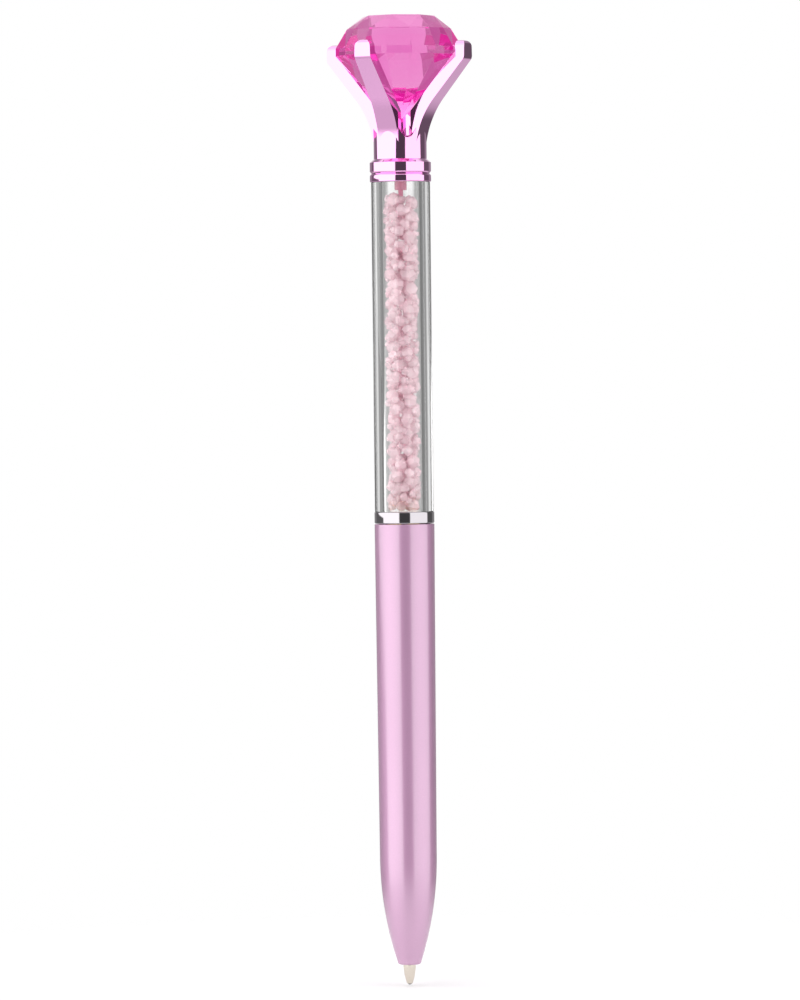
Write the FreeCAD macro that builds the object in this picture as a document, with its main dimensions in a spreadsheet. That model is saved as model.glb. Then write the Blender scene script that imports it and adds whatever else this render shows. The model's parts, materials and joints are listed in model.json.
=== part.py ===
"""Twist gel pen with a crystal-filled clear barrel and a faceted gem held by four claws.

+Z runs along the pen from the writing ball (z = 0, point extended) to the gem. Millimetres.
"""
import FreeCAD, Part
import math
import os
import random
import re
import Sketcher
from FreeCAD import Placement, Rotation, Vector

# Driving dimensions. Radii and heights in millimetres, angles in degrees.
SIZES = {
    # outside of the lower half
    "tip_reach": 3.0,            # how far the point stands out of the nose
    "barrel_length": 64.7,
    "barrel_radius": 4.4,
    "barrel_taper": 0.22,        # from the mouth down to the start of the ogive
    "barrel_wall": 0.43,
    "ogive_length": 15.5,
    "nose_radius": 1.76,
    "nose_round": 0.42,
    "nose_play": 0.08,           # of the point in the nose
    "nose_thickness": 1.6,
    "edge_break": 0.1,
    # centre ring and connector
    "ring_gap": 0.1,
    "ring_height": 1.7,
    "ring_round": 0.15,
    "ring_wall": 0.5,
    "connector_floor": 0.5,
    "boss_rise": 0.12,
    "stem_socket_wall": 0.3,
    # clear tube
    "tube_length": 48.25,
    "tube_inset": 0.07,          # inside the barrel's mouth radius
    "chamber_radius": 2.75,
    "connector_wall": 0.28,
    "lower_spigot": 1.15,
    "spigot_wall": 0.65,
    "upper_spigot": 2.5,
    "stopper_length": 2.0,
    "nipple_radius": 0.9,
    "nipple_length": 1.8,
    "nipple_pin_radius": 0.35,
    "nipple_pin_length": 1.4,
    # crown
    "band_rise": 0.1,            # outside the barrel's mouth radius
    "trim_height": 1.25,
    "band_height": 2.1,
    "band_groove": 0.28,         # half the width of the groove between the bands
    "groove_depth": 0.24,
    "shoulder_height": 0.5,
    "band_step": 0.61,           # from the bands in to the neck
    "cup_radius": 2.6,
    "cup_floor": 3.45,           # above the bands
    "cup_rim": 5.85,             # above the bands
    "notch_floor": 3.05,         # above the bands
    "notch_round": 0.9,
    "notch_angle": 29.7,
    "flare_angle": 40.7,         # from the pen's axis
    "flare_bend": 12.8,
    "flat_inset": 0.5,           # of a flat claw's foot inside the round neck
    "flat_rise": 0.45,           # of that foot above the bands
    "claw_width": 3.2,
    "claw_tip_width": 2.4,
    "claw_corner": 1.0,
    "claw_thickness": 1.75,
    "tip_gap": 0.4,              # between the girdle and a claw's tip
    "claw_tip_thickness": 1.5,
    "claw_tip_bend": 1.0,
    "claw_tip_height": 2.2,
    "claw_tip_round": 0.75,
    "claw_turn": -28.0,
    # gem
    "girdle_radius": 9.45,
    "girdle_height": 1.1,
    "gem_gap": 0.1,
    "belt_radius": 7.75,
    "belt_rise": 2.8,
    "table_radius": 5.3,
    "table_rise": 1.95,
    "pavilion_radius": 5.4,
    "pavilion_drop": 4.4,
    "culet_radius": 0.4,
    "culet_drop": 4.7,
    "gem_turn": -78.5,
    "gem_sides": 16,
    # crystals
    "crystal_largest": 1.15,
    "crystal_smallest": 0.7,
    "crystal_headroom": 1.2,
    # twist unit
    "unit_depth": 19.7,          # below the barrel's mouth
    "bush_wall": 0.33,
    "jacket_wall": 0.3,
    "jacket_drop": 0.4,
    "flange_height": 1.2,
    "flange_pilot": 1.0,
    "cam_wall": 0.63,
    "cam_drop": 1.1,
    "cam_shoulder_step": 0.15,
    "guide_wall": 0.46,
    "guide_rim": 0.89,           # above the straight slots
    "guide_drop": 2.8,
    "slider_above_pin": 1.2,
    "slider_below_pin": 7.0,
    "pin_radius": 0.45,
    "travel": 4.5,
    "slot_half_width": 0.51,
    "slot_half_height": 0.577,   # of the helical slot, along the axis
    "snap_bite": 0.16,
    "snap_height": 0.35,
    "ring_seat_height": 0.5,
    "seal_section": 0.15,
    "seal_height": 1.2,          # above the cam's lower end
    "bush_length": 16.0,
    "bush_drop": 0.6,
    "running": 0.04,             # radial clearance of parts that turn or slide
    "push_fit": 0.02,
    "stand_off": 0.1,            # axial clearance between parts that turn
    "seat": 0.01,                # clearance inside one rigid group
    # refill
    "refill_radius": 1.175,
    "refill_wall": 0.225,
    "point_radius": 0.92,
    "point_length": 5.6,
    "point_taper": 1.6,
    "point_spigot": 4.5,
    "point_bore": 0.55,
    "ink_passage": 0.15,
    "ball_radius": 0.35,
    "ball_play": 0.02,
    "lip_height": 0.2,
    "lip_radius": 0.42,
    "ink_length": 33.0,
    "follower_length": 3.0,
    "vent_length": 1.5,
    "vent_radius": 0.3,
    "nose_bush_play": 0.075,
    "nose_bush_rise": 4.1,       # above the nose face
    "nose_bush_length": 4.0,
}

# Heights and radii worked out from the driving dimensions, as formulas.
WORKED_OUT = {
    "waist_radius": "barrel_radius - barrel_taper",
    "bore_radius": "waist_radius - barrel_wall",
    "nose_hole": "point_radius + nose_play",
    "connector_radius": "barrel_radius - ring_wall",
    "lower_spigot_radius": "connector_radius - connector_wall - push_fit",
    "upper_spigot_radius": "chamber_radius + spigot_wall",
    "tube_radius": "barrel_radius - tube_inset",
    "band_radius": "barrel_radius + band_rise",
    "neck_radius": "band_radius - band_step",
    "flat_radius": "neck_radius - flat_inset",
    "jacket_radius": "bore_radius - bush_wall - push_fit",
    "jacket_bore": "jacket_radius - jacket_wall",
    "cam_radius": "jacket_bore - running - seat",
    "cam_bore": "cam_radius - cam_wall",
    "cam_neck_radius": "cam_radius - cam_shoulder_step",
    "stem_radius": "cam_neck_radius - stem_socket_wall",
    "guide_radius": "cam_bore - running",
    "guide_bore": "guide_radius - guide_wall",
    "slider_radius": "guide_bore - running",
    "slider_socket": "refill_radius + seat",
    "pin_end": "cam_radius - stand_off",
    "snap_radius": "jacket_bore + snap_bite",
    "refill_bore": "refill_radius - refill_wall",
    "bush_bore": "refill_radius + nose_bush_play",
    "nose_face": "tip_reach",
    "nose_floor": "nose_face + nose_thickness",
    "ogive_top": "nose_face + ogive_length",
    "ogive_rise": "waist_radius - nose_radius",
    "ogive_bend": "(ogive_length ^ 2 + ogive_rise ^ 2) / (2 * ogive_rise)",
    "cavity_bend": "ogive_bend - barrel_wall",
    "cavity_radius": "waist_radius - ogive_bend"
                     " + sqrt(cavity_bend ^ 2 - (ogive_length - nose_thickness) ^ 2)",
    "barrel_top": "nose_face + barrel_length",
    "ring_base": "barrel_top + ring_gap",
    "ring_top": "ring_base + ring_height",
    "connector_cup": "ring_base + connector_floor",
    "tube_foot": "ring_top - lower_spigot",
    "boss_top": "ring_top + boss_rise",
    "stem_foot": "guide_top + stand_off",
    "tube_top": "ring_top + tube_length",
    "spigot_top": "tube_top + upper_spigot",
    "stopper_foot": "spigot_top - stopper_length",
    "crown_base": "tube_top + trim_height",
    "band_top": "crown_base + band_height",
    "cup_bottom": "band_top + cup_floor",
    "cup_top": "band_top + cup_rim",
    "notch_bottom": "band_top + notch_floor",
    "flare_start": "band_top + flat_rise",
    "flare_end": "flare_start + flare_bend * sin(flare_angle)",
    "flare_end_radius": "flat_radius + flare_bend * (1 - cos(flare_angle))",
    "claw_depth": "claw_thickness / cos(flare_angle)",
    "tip_bend_radius": "claw_tip_radius - claw_tip_bend * (1 - cos(flare_angle))",
    "tip_bend_start": "flare_end + (tip_bend_radius - flare_end_radius) / tan(flare_angle)",
    "tip_bend_end": "tip_bend_start + claw_tip_bend * sin(flare_angle)",
    "claw_top": "tip_bend_end + claw_tip_height",
    "tip_inside": "girdle_radius + tip_gap",
    "claw_tip_radius": "tip_inside + claw_tip_thickness",
    "tip_inside_foot": "flare_end + (tip_inside + claw_depth - flare_end_radius) / tan(flare_angle)",
    "claw_inside_foot": "flare_end + (cup_radius + claw_depth - flare_end_radius) / tan(flare_angle)",
    "girdle_foot": "flare_end"
                   " + (girdle_radius + gem_gap + claw_depth - flare_end_radius) / tan(flare_angle)",
    "girdle_top": "girdle_foot + girdle_height",
    "belt_height": "girdle_top + belt_rise",
    "table_height": "belt_height + table_rise",
    "pavilion_height": "girdle_foot - pavilion_drop",
    "culet_height": "pavilion_height - culet_drop",
    "unit_foot": "barrel_top - unit_depth",
    "flange_top": "unit_foot + flange_height",
    "pilot_top": "flange_top + flange_pilot",
    "jacket_top": "barrel_top - jacket_drop",
    "cam_foot": "pilot_top + stand_off",
    "cam_shoulder": "barrel_top - cam_drop",
    "snap_foot": "cam_shoulder + stand_off",
    "snap_top": "snap_foot + snap_height",
    "guide_top": "barrel_top - guide_drop",
    "cam_step": "guide_top + stand_off / 2",
    "pin_height": "guide_top - guide_rim - slot_half_width - travel",
    "slider_foot": "pin_height - slider_below_pin",
    "slider_top": "pin_height + slider_above_pin",
    "socket_top": "pin_height - pin_radius - ring_seat_height",
    "refill_top": "socket_top - seat",
    "seal_mid": "cam_foot + seal_height",
    "point_shoulder": "point_length + point_taper",
    "spigot_end": "point_shoulder + point_spigot",
    "ink_top": "spigot_end + ink_length",
    "follower_top": "ink_top + follower_length",
    "vent_foot": "refill_top - vent_length",
    "bush_top": "barrel_top - bush_drop",
    "nose_bush_foot": "nose_face + nose_bush_rise",
    "nose_bush_radius": "waist_radius - ogive_bend - push_fit"
                        " + sqrt(cavity_bend ^ 2 - (ogive_top - nose_bush_foot) ^ 2)",
}

doc = FreeCAD.newDocument("crystal_pen")
sheet = doc.addObject("Spreadsheet::Sheet", "Sizes")
for row, (alias, number) in enumerate(SIZES.items(), start=1):
    sheet.set("A%d" % row, alias)
    sheet.set("B%d" % row, str(number))
    sheet.setAlias("B%d" % row, alias)
doc.recompute()


def bound(text):
    """The formula with every name traced back to cells of the sheet."""
    def trace(match):
        word = match.group(0)
        if word in WORKED_OUT:
            return "(" + bound(WORKED_OUT[word]) + ")"
        return "Sizes." + word if word in SIZES else word
    return re.sub(r"[a-z][a-z_]*", trace, text)


def value(text):
    """The formula's value now."""
    return float(sheet.evalExpression(bound(text)))


def origin_plane(body, role):
    """A body's own origin plane."""
    return next(feature for feature in body.Origin.OriginFeatures if feature.Role == role)


def new_sketch(body, name, role="XZ_Plane", turn=0.0):
    """A sketch on an origin plane, turned about +Z by turn degrees. Its vertical axis is +Z."""
    sketch = body.newObject("Sketcher::SketchObject", name)
    sketch.AttachmentSupport = (origin_plane(body, role), [""])
    sketch.MapMode = "FlatFace"
    sketch.AttachmentOffset = Placement(Vector(), Rotation(Vector(0, 1, 0), turn))
    return sketch


def arc_between(first, last, radius, turns_left):
    """The short arc from first to last, and its centre on the left or right of the way there."""
    chord = last - first
    left = Vector(-chord.y, chord.x, 0).normalize()
    reach = math.sqrt(max(radius ** 2 - chord.Length ** 2 / 4, 0))
    centre = (first + last) / 2 + left * (reach if turns_left else -reach)
    start, end = (first, last) if turns_left else (last, first)
    angles = [math.atan2(point.y - centre.y, point.x - centre.x) for point in (start, end)]
    return Part.ArcOfCircle(Part.Circle(centre, Vector(0, 0, 1), radius), *angles)


def draw_outline(sketch, points):
    """Draws a closed outline. A point is (across, up), both formulas, or (across, up, radius, way):
    then the run to the next point is an arc of that radius that turns "left" or "right"."""
    spots = [Vector(value(point[0]), value(point[1]), 0) for point in points]
    ends = []
    for index, point in enumerate(points):
        first, last = spots[index], spots[(index + 1) % len(points)]
        if len(point) == 2:
            edge = sketch.addGeometry(Part.LineSegment(first, last))
            ends.append((edge, 1, 2))
        else:
            turns_left = point[3] == "left"
            edge = sketch.addGeometry(arc_between(first, last, value(point[2]), turns_left))
            ends.append((edge, 1, 2) if turns_left else (edge, 2, 1))
    for index, point in enumerate(points):
        edge, start, _ = ends[index]
        before, _, finish = ends[index - 1]
        sketch.addConstraint(Sketcher.Constraint("Coincident", before, finish, edge, start))
        place(sketch, edge, start, point)
        if len(point) > 2:
            radius = Sketcher.Constraint("Radius", edge, value(point[2]))
            bind(sketch, sketch.addConstraint(radius), point[2])


def place(sketch, edge, end, point):
    """Fixes one point of a sketch by formulas."""
    for kind, axis, text in (("DistanceX", -2, point[0]), ("DistanceY", -1, point[1])):
        if abs(value(text)) < 1e-9:
            sketch.addConstraint(Sketcher.Constraint("PointOnObject", edge, end, axis))
        else:
            distance = Sketcher.Constraint(kind, -1, 1, edge, end, value(text))
            bind(sketch, sketch.addConstraint(distance), text)


def bind(sketch, constraint, text):
    sketch.setExpression("Constraints[%d]" % constraint, bound(text))


def draw_circle(sketch, across, up, radius):
    """A circle placed and sized by formulas."""
    circle = Part.Circle(Vector(value(across), value(up), 0), Vector(0, 0, 1), value(radius))
    edge = sketch.addGeometry(circle)
    place(sketch, edge, 3, (across, up))
    size = Sketcher.Constraint("Radius", edge, value(radius))
    bind(sketch, sketch.addConstraint(size), radius)


def new_body(label):
    body = doc.addObject("PartDesign::Body", label + "_body")
    body.Label = label
    return body


def revolve(body, points, name="turning", kind="PartDesign::Revolution"):
    """Turns an outline of (radius, height) points about +Z."""
    sketch = new_sketch(body, name + "_outline")
    draw_outline(sketch, points)
    turning = body.newObject(kind, name)
    turning.Profile = sketch
    turning.ReferenceAxis = (sketch, ["V_Axis"])
    turning.Angle = 360
    return turning


def turned(label, points):
    """A piece made on the lathe."""
    body = new_body(label)
    revolve(body, points)
    return body


def sleeve(label, inner, outer, foot, top):
    """A plain tube."""
    return turned(label, [(inner, foot), (outer, foot), (outer, top), (inner, top)])


def cut_through(body, sketch, name):
    """A pocket through the whole piece, both ways from its sketch."""
    pocket = body.newObject("PartDesign::Pocket", name)
    pocket.Profile = sketch
    pocket.Type = "ThroughAll"
    pocket.SideType = "Symmetric"
    return pocket


def repeat_round(body, features, count, angle, name):
    """A polar pattern about +Z."""
    pattern = body.newObject("PartDesign::PolarPattern", name)
    pattern.Originals = features
    pattern.Axis = (origin_plane(body, "Z_Axis"), [""])
    pattern.Angle = angle
    pattern.Occurrences = count
    body.Tip = pattern
    return pattern


# ---------------------------------------------------------------- lower half

def lower_barrel():
    """Drawn metal barrel: a slight taper, then an ogive down to the flat nose."""
    turned("lower_barrel", [
        ("nose_hole", "nose_face"),
        ("nose_radius - nose_round", "nose_face", "nose_round", "left"),
        ("nose_radius", "nose_face + nose_round", "ogive_bend", "left"),
        ("waist_radius", "ogive_top"),
        ("barrel_radius", "barrel_top - edge_break"),
        ("barrel_radius - edge_break", "barrel_top"),
        ("bore_radius", "barrel_top"),
        ("bore_radius", "ogive_top", "cavity_bend", "right"),
        ("cavity_radius", "nose_floor"),
        ("nose_hole", "nose_floor"),
    ])


def nose_bush():
    sleeve("nose_bush", "bush_bore", "nose_bush_radius",
           "nose_bush_foot", "nose_bush_foot + nose_bush_length")


def barrel_bush():
    sleeve("barrel_bush", "jacket_radius + push_fit", "bore_radius",
           "bush_top - bush_length", "bush_top")


# ---------------------------------------------------------------- twist unit

def guide_sleeve():
    """Fixed sleeve on a flange, with two straight slots that keep the cross pin from turning."""
    body = turned("guide_sleeve", [
        ("guide_bore", "unit_foot"),
        ("jacket_radius", "unit_foot"),
        ("jacket_radius", "flange_top"),
        ("jacket_bore", "flange_top"),
        ("jacket_bore", "pilot_top"),
        ("guide_radius", "pilot_top"),
        ("guide_radius", "guide_top"),
        ("guide_bore", "guide_top"),
    ])
    slot = new_sketch(body, "straight_slot", "YZ_Plane")
    foot, top = "pin_height", "pin_height + travel"
    draw_outline(slot, [
        ("-slot_half_width", foot, "slot_half_width", "left"),
        ("0", foot + " - slot_half_width", "slot_half_width", "left"),
        ("slot_half_width", foot),
        ("slot_half_width", top, "slot_half_width", "left"),
        ("0", top + " + slot_half_width", "slot_half_width", "left"),
        ("-slot_half_width", top),
    ])
    cut_through(body, slot, "straight_slots")


def jacket_tube():
    """Outer sleeve of the twist unit, with an inside groove for the snap ring."""
    turned("jacket_tube", [
        ("jacket_bore", "flange_top"),
        ("jacket_radius", "flange_top"),
        ("jacket_radius", "jacket_top"),
        ("jacket_bore", "jacket_top"),
        ("jacket_bore", "snap_top + seat"),
        ("snap_radius + seat", "snap_top + seat"),
        ("snap_radius + seat", "snap_foot - seat"),
        ("jacket_bore", "snap_foot - seat"),
    ])


def snap_ring():
    """Split ring in the jacket's groove; it stops the cam's shoulder."""
    body = turned("snap_ring", [
        ("cam_neck_radius + running", "snap_foot"),
        ("snap_radius", "snap_foot"),
        ("snap_radius", "snap_top"),
        ("cam_neck_radius + running", "snap_top"),
    ])
    gap = new_sketch(body, "split")
    draw_outline(gap, [
        ("cam_neck_radius - snap_height", "snap_foot - snap_height"),
        ("snap_radius + snap_height", "snap_foot - snap_height"),
        ("snap_radius + snap_height", "snap_top + snap_height"),
        ("cam_neck_radius - snap_height", "snap_top + snap_height"),
    ])
    cut = body.newObject("PartDesign::Pocket", "split_cut")
    cut.Profile = gap
    cut.SideType = "Symmetric"
    cut.setExpression("Length", bound("2 * snap_height"))


def cam_sleeve():
    """Turning sleeve. Two helical slots, half a turn each, lift the cross pin by the travel."""
    body = turned("cam_sleeve", [
        ("cam_bore", "cam_foot"),
        ("cam_radius", "cam_foot"),
        ("cam_radius", "seal_mid - ring_seat_height / 2"),
        ("cam_radius - 2 * seal_section", "seal_mid - ring_seat_height / 2"),
        ("cam_radius - 2 * seal_section", "seal_mid + ring_seat_height / 2"),
        ("cam_radius", "seal_mid + ring_seat_height / 2"),
        ("cam_radius", "cam_shoulder"),
        ("cam_neck_radius", "cam_shoulder"),
        ("cam_neck_radius", "ring_base"),
        ("stem_radius", "ring_base"),
        ("stem_radius", "cam_step"),
        ("cam_bore", "cam_step"),
    ])
    profile = new_sketch(body, "slot_section")
    draw_outline(profile, [
        ("cam_bore - slot_half_width", "pin_height - slot_half_height"),
        ("cam_radius + slot_half_width", "pin_height - slot_half_height"),
        ("cam_radius + slot_half_width", "pin_height + slot_half_height"),
        ("cam_bore - slot_half_width", "pin_height + slot_half_height"),
    ])
    helix = body.newObject("PartDesign::SubtractiveHelix", "helical_slot")
    helix.Profile = profile
    helix.ReferenceAxis = (profile, ["V_Axis"])
    helix.Mode = "pitch-height-angle"
    helix.LeftHanded = True
    helix.setExpression("Pitch", bound("2 * travel"))
    helix.setExpression("Height", bound("travel"))
    repeat_round(body, [helix], 2, 360, "both_slots")
    ends = new_sketch(body, "slot_ends", "YZ_Plane")
    draw_circle(ends, "0", "pin_height", "slot_half_width")
    draw_circle(ends, "0", "pin_height + travel", "slot_half_width")
    cut_through(body, ends, "drilled_ends")


def friction_ring():
    """O-ring in the cam's groove that drags on the jacket."""
    ring = doc.addObject("Part::Torus", "friction_ring_torus")
    ring.Label = "friction_ring"
    ring.setExpression("Radius1", bound("cam_radius - seal_section + push_fit"))
    ring.setExpression("Radius2", bound("seal_section"))
    ring.setExpression("Placement.Base.z", bound("seal_mid"))


# ---------------------------------------------------------------- refill

def refill_slider():
    """Socket for the refill's rear end, drilled across for the pin."""
    body = turned("refill_slider", [
        ("slider_socket", "slider_foot"),
        ("slider_radius", "slider_foot"),
        ("slider_radius", "slider_top"),
        ("0", "slider_top"),
        ("0", "socket_top"),
        ("slider_socket", "socket_top"),
    ])
    hole = new_sketch(body, "pin_hole", "YZ_Plane")
    draw_circle(hole, "0", "pin_height", "pin_radius")
    cut_through(body, hole, "cross_hole")


def slider_pin():
    """Cross pin through the slider, the straight slots and the helical slots."""
    pin = doc.addObject("Part::Cylinder", "slider_pin_cylinder")
    pin.Label = "slider_pin"
    pin.setExpression("Radius", bound("pin_radius"))
    pin.setExpression("Height", bound("2 * pin_end"))
    pin.Placement = Placement(Vector(), Rotation(Vector(0, 1, 0), 90))
    pin.setExpression("Placement.Base.x", bound("-pin_end"))
    pin.setExpression("Placement.Base.z", bound("pin_height"))


def refill_tube():
    sleeve("refill_tube", "refill_bore", "refill_radius", "point_shoulder", "refill_top")


def point_cone():
    """Writing point: bullet-shaped nose with a socket for the ball, shoulder and tube spigot."""
    body = turned("point_cone", [
        ("0", "lip_height"),
        ("lip_radius", "lip_height"),
        ("0.68 * point_radius", "0.28 * tip_reach", "2 * tip_reach", "left"),
        ("0.93 * point_radius", "0.7 * tip_reach", "tip_reach", "left"),
        ("point_radius", "tip_reach"),
        ("point_radius", "point_length"),
        ("refill_radius", "point_shoulder"),
        ("refill_bore - seat", "point_shoulder"),
        ("refill_bore - seat", "spigot_end"),
        ("point_bore", "spigot_end"),
        ("point_bore", "tip_reach + point_bore"),
        ("ink_passage", "tip_reach"),
        ("ink_passage", "3 * ball_radius"),
        ("0", "3 * ball_radius"),
    ])
    revolve(body, [
        ("0", "ball_radius - (ball_radius + ball_play)", "ball_radius + ball_play", "left"),
        ("ball_radius + ball_play", "ball_radius", "ball_radius + ball_play", "left"),
        ("0", "2 * ball_radius + ball_play"),
    ], "ball_socket", "PartDesign::Groove")
    revolve(body, [
        ("0", "1.5 * ball_radius"),
        ("ink_passage", "1.5 * ball_radius"),
        ("ink_passage", "tip_reach"),
        ("0", "tip_reach"),
    ], "ink_channel", "PartDesign::Groove")


def writing_ball():
    ball = doc.addObject("Part::Sphere", "writing_ball_sphere")
    ball.Label = "writing_ball"
    ball.setExpression("Radius", bound("ball_radius"))
    ball.setExpression("Placement.Base.z", bound("ball_radius"))


def gel_ink():
    """Ink in the point's bore and in the tube."""
    turned("gel_ink", [
        ("0", "tip_reach + point_bore + seat"),
        ("point_bore - seat", "tip_reach + point_bore + seat"),
        ("point_bore - seat", "spigot_end + seat"),
        ("refill_bore - seat", "spigot_end + seat"),
        ("refill_bore - seat", "ink_top"),
        ("0", "ink_top"),
    ])


def ink_follower():
    turned("ink_follower", [
        ("0", "ink_top"),
        ("refill_bore - seat", "ink_top"),
        ("refill_bore - seat", "follower_top"),
        ("0", "follower_top"),
    ])


def vent_plug():
    sleeve("vent_plug", "vent_radius", "refill_bore - seat", "vent_foot", "refill_top")


# ---------------------------------------------------------------- upper half

def connector():
    """Turned piece: stem in the cam, cup for the tube's spigot and boss in the tube's bore."""
    turned("connector", [
        ("0", "stem_foot"),
        ("stem_radius - seat", "stem_foot"),
        ("stem_radius - seat", "ring_base"),
        ("connector_radius", "ring_base"),
        ("connector_radius", "ring_top"),
        ("lower_spigot_radius + push_fit", "ring_top"),
        ("lower_spigot_radius + push_fit", "connector_cup"),
        ("chamber_radius - push_fit", "connector_cup"),
        ("chamber_radius - push_fit", "boss_top - edge_break"),
        ("chamber_radius - push_fit - edge_break", "boss_top"),
        ("0", "boss_top"),
    ])


def centre_ring():
    """Polished ring round the connector."""
    turned("centre_ring", [
        ("connector_radius + push_fit", "ring_base"),
        ("barrel_radius - ring_round", "ring_base", "ring_round", "left"),
        ("barrel_radius", "ring_base + ring_round"),
        ("barrel_radius", "ring_top - ring_round", "ring_round", "left"),
        ("barrel_radius - ring_round", "ring_top"),
        ("connector_radius + push_fit", "ring_top"),
    ])


def clear_tube():
    """Thick-walled clear barrel with a spigot at each end."""
    turned("clear_tube", [
        ("chamber_radius", "tube_foot"),
        ("lower_spigot_radius", "tube_foot"),
        ("lower_spigot_radius", "ring_top"),
        ("tube_radius", "ring_top"),
        ("tube_radius", "tube_top"),
        ("upper_spigot_radius", "tube_top"),
        ("upper_spigot_radius", "spigot_top"),
        ("chamber_radius", "spigot_top"),
    ])


def chamber_stopper():
    """Plug in the top of the bore, with a nipple and a thin pin below it."""
    turned("chamber_stopper", [
        ("0", "stopper_foot - nipple_length - nipple_pin_length"),
        ("nipple_pin_radius", "stopper_foot - nipple_length - nipple_pin_length"),
        ("nipple_pin_radius", "stopper_foot - nipple_length"),
        ("nipple_radius - edge_break", "stopper_foot - nipple_length"),
        ("nipple_radius", "stopper_foot - nipple_length + edge_break"),
        ("nipple_radius", "stopper_foot"),
        ("chamber_radius - seat", "stopper_foot"),
        ("chamber_radius - seat", "spigot_top"),
        ("0", "spigot_top"),
    ])


def trim_ring():
    """Lower of the two bands under the crown."""
    turned("trim_ring", [
        ("upper_spigot_radius + push_fit", "tube_top"),
        ("band_radius - ring_round", "tube_top", "ring_round", "left"),
        ("band_radius", "tube_top + ring_round"),
        ("band_radius", "crown_base - band_groove"),
        ("band_radius - groove_depth", "crown_base"),
        ("upper_spigot_radius + push_fit", "crown_base"),
    ])


def crown():
    """Casting with a socket for the tube, a band, a neck, an open cup and four flat claws."""
    body = new_body("crown")
    revolve(body, [
        ("upper_spigot_radius + push_fit", "crown_base"),
        ("band_radius - groove_depth", "crown_base"),
        ("band_radius", "crown_base + band_groove"),
        ("band_radius", "band_top - shoulder_height"),
        ("neck_radius", "band_top"),
        ("neck_radius", "cup_top"),
        ("cup_radius", "cup_top"),
        ("cup_radius", "cup_bottom"),
        ("0", "cup_bottom"),
        ("0", "spigot_top"),
        ("upper_spigot_radius + push_fit", "spigot_top"),
    ], "neck")
    repeat_round(body, [claw_notch(body)], 2, 90, "notches")
    claw = body.newObject("PartDesign::Pad", "claw")
    claw.Profile = claw_side(body)
    claw.SideType = "Symmetric"
    claw.setExpression("Length", bound("claw_width"))
    front = claw_front(body)
    taper = body.newObject("PartDesign::Pocket", "claw_taper")
    taper.Profile = front
    taper.Type = "ThroughAll"
    taper.Reversed = True
    repeat_round(body, [claw, taper], 4, 360, "claws")
    body.setExpression("Placement.Rotation.Angle", bound("claw_turn"))


def claw_notch(body):
    """Round-bottomed notch between two claws, cut through both walls of the cup."""
    sketch = new_sketch(body, "notch_outline", turn=45)
    side = "notch_round * cos(notch_angle)"
    foot = "notch_bottom + notch_round * (1 - sin(notch_angle))"
    spread = side + " + (cup_top + notch_round - notch_bottom) * tan(notch_angle)"
    draw_outline(sketch, [
        ("-(" + side + ")", foot, "notch_round", "left"),
        ("0", "notch_bottom", "notch_round", "left"),
        (side, foot),
        (spread, foot + " + cup_top + notch_round - notch_bottom"),
        ("-(" + spread + ")", foot + " + cup_top + notch_round - notch_bottom"),
    ])
    return cut_through(body, sketch, "notch")


def claw_side(body):
    """A claw seen from the side: it flares outwards, then its tip stands upright."""
    sketch = new_sketch(body, "claw_side")
    draw_outline(sketch, [
        ("cup_radius", "flare_start"),
        ("flat_radius", "flare_start", "flare_bend", "right"),
        ("flare_end_radius", "flare_end"),
        ("tip_bend_radius", "tip_bend_start", "claw_tip_bend", "left"),
        ("claw_tip_radius", "tip_bend_end"),
        ("claw_tip_radius", "claw_top - claw_tip_round", "claw_tip_round", "left"),
        ("claw_tip_radius - claw_tip_round", "claw_top"),
        ("tip_inside", "claw_top"),
        ("tip_inside", "tip_inside_foot"),
        ("cup_radius", "claw_inside_foot"),
    ])
    return sketch


def claw_front(body):
    """What is cut from a claw's two sides: a slight taper and rounded corners at the top."""
    sketch = new_sketch(body, "claw_front", "YZ_Plane")
    for sign in ("", "-"):
        way = "left" if sign == "" else "right"
        draw_outline(sketch, [
            (sign + "claw_width / 2", "cup_top"),
            (sign + "(claw_width / 2 + edge_break)", "cup_top"),
            (sign + "(claw_width / 2 + edge_break)", "claw_top + edge_break"),
            (sign + "(claw_tip_width / 2 - claw_corner)", "claw_top + edge_break"),
            (sign + "(claw_tip_width / 2 - claw_corner)", "claw_top", "claw_corner",
             "right" if way == "left" else "left"),
            (sign + "claw_tip_width / 2", "claw_top - claw_corner"),
        ])
    return sketch


def facet(points):
    return Part.Face(Part.makePolygon(list(points) + [points[0]]))


def closed_solid(faces):
    return Part.makeSolid(Part.makeShell(faces))


def gem():
    """Round stone: flat table, two tiers of crown facets, girdle and a two-step pavilion."""
    sides = int(value("gem_sides"))
    step = 360.0 / sides

    def corner(radius, height, index):
        angle = math.radians(value("gem_turn") + step * index)
        return Vector(radius * math.cos(angle), radius * math.sin(angle), height)

    def ring(radius, height):
        return [corner(value(radius), value(height), index) for index in range(sides + 1)]

    belt = ring("belt_radius", "belt_height")
    girdle_high = ring("girdle_radius", "girdle_top")
    girdle_low = ring("girdle_radius", "girdle_foot")
    pavilion = ring("pavilion_radius", "pavilion_height")
    culet = ring("culet_radius", "culet_height")
    table = [corner(value("table_radius"), value("table_height"), index)
             for index in range(1, sides, 2)]
    faces = [facet(table), facet(culet[:sides])]
    for high, low in ((belt, girdle_high), (girdle_high, girdle_low),
                      (girdle_low, pavilion), (pavilion, culet)):
        faces += [facet((high[i], high[i + 1], low[i + 1], low[i])) for i in range(sides)]
    for index, tip in enumerate(table):
        under = 2 * index + 1
        faces.append(facet((tip, belt[under - 1], belt[under])))
        faces.append(facet((tip, belt[under], belt[under + 1])))
        faces.append(facet((tip, table[(index + 1) % len(table)], belt[under + 1])))
    stone = doc.addObject("Part::Feature", "gem_stone")
    stone.Label = "gem"
    stone.Shape = closed_solid(faces)


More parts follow.
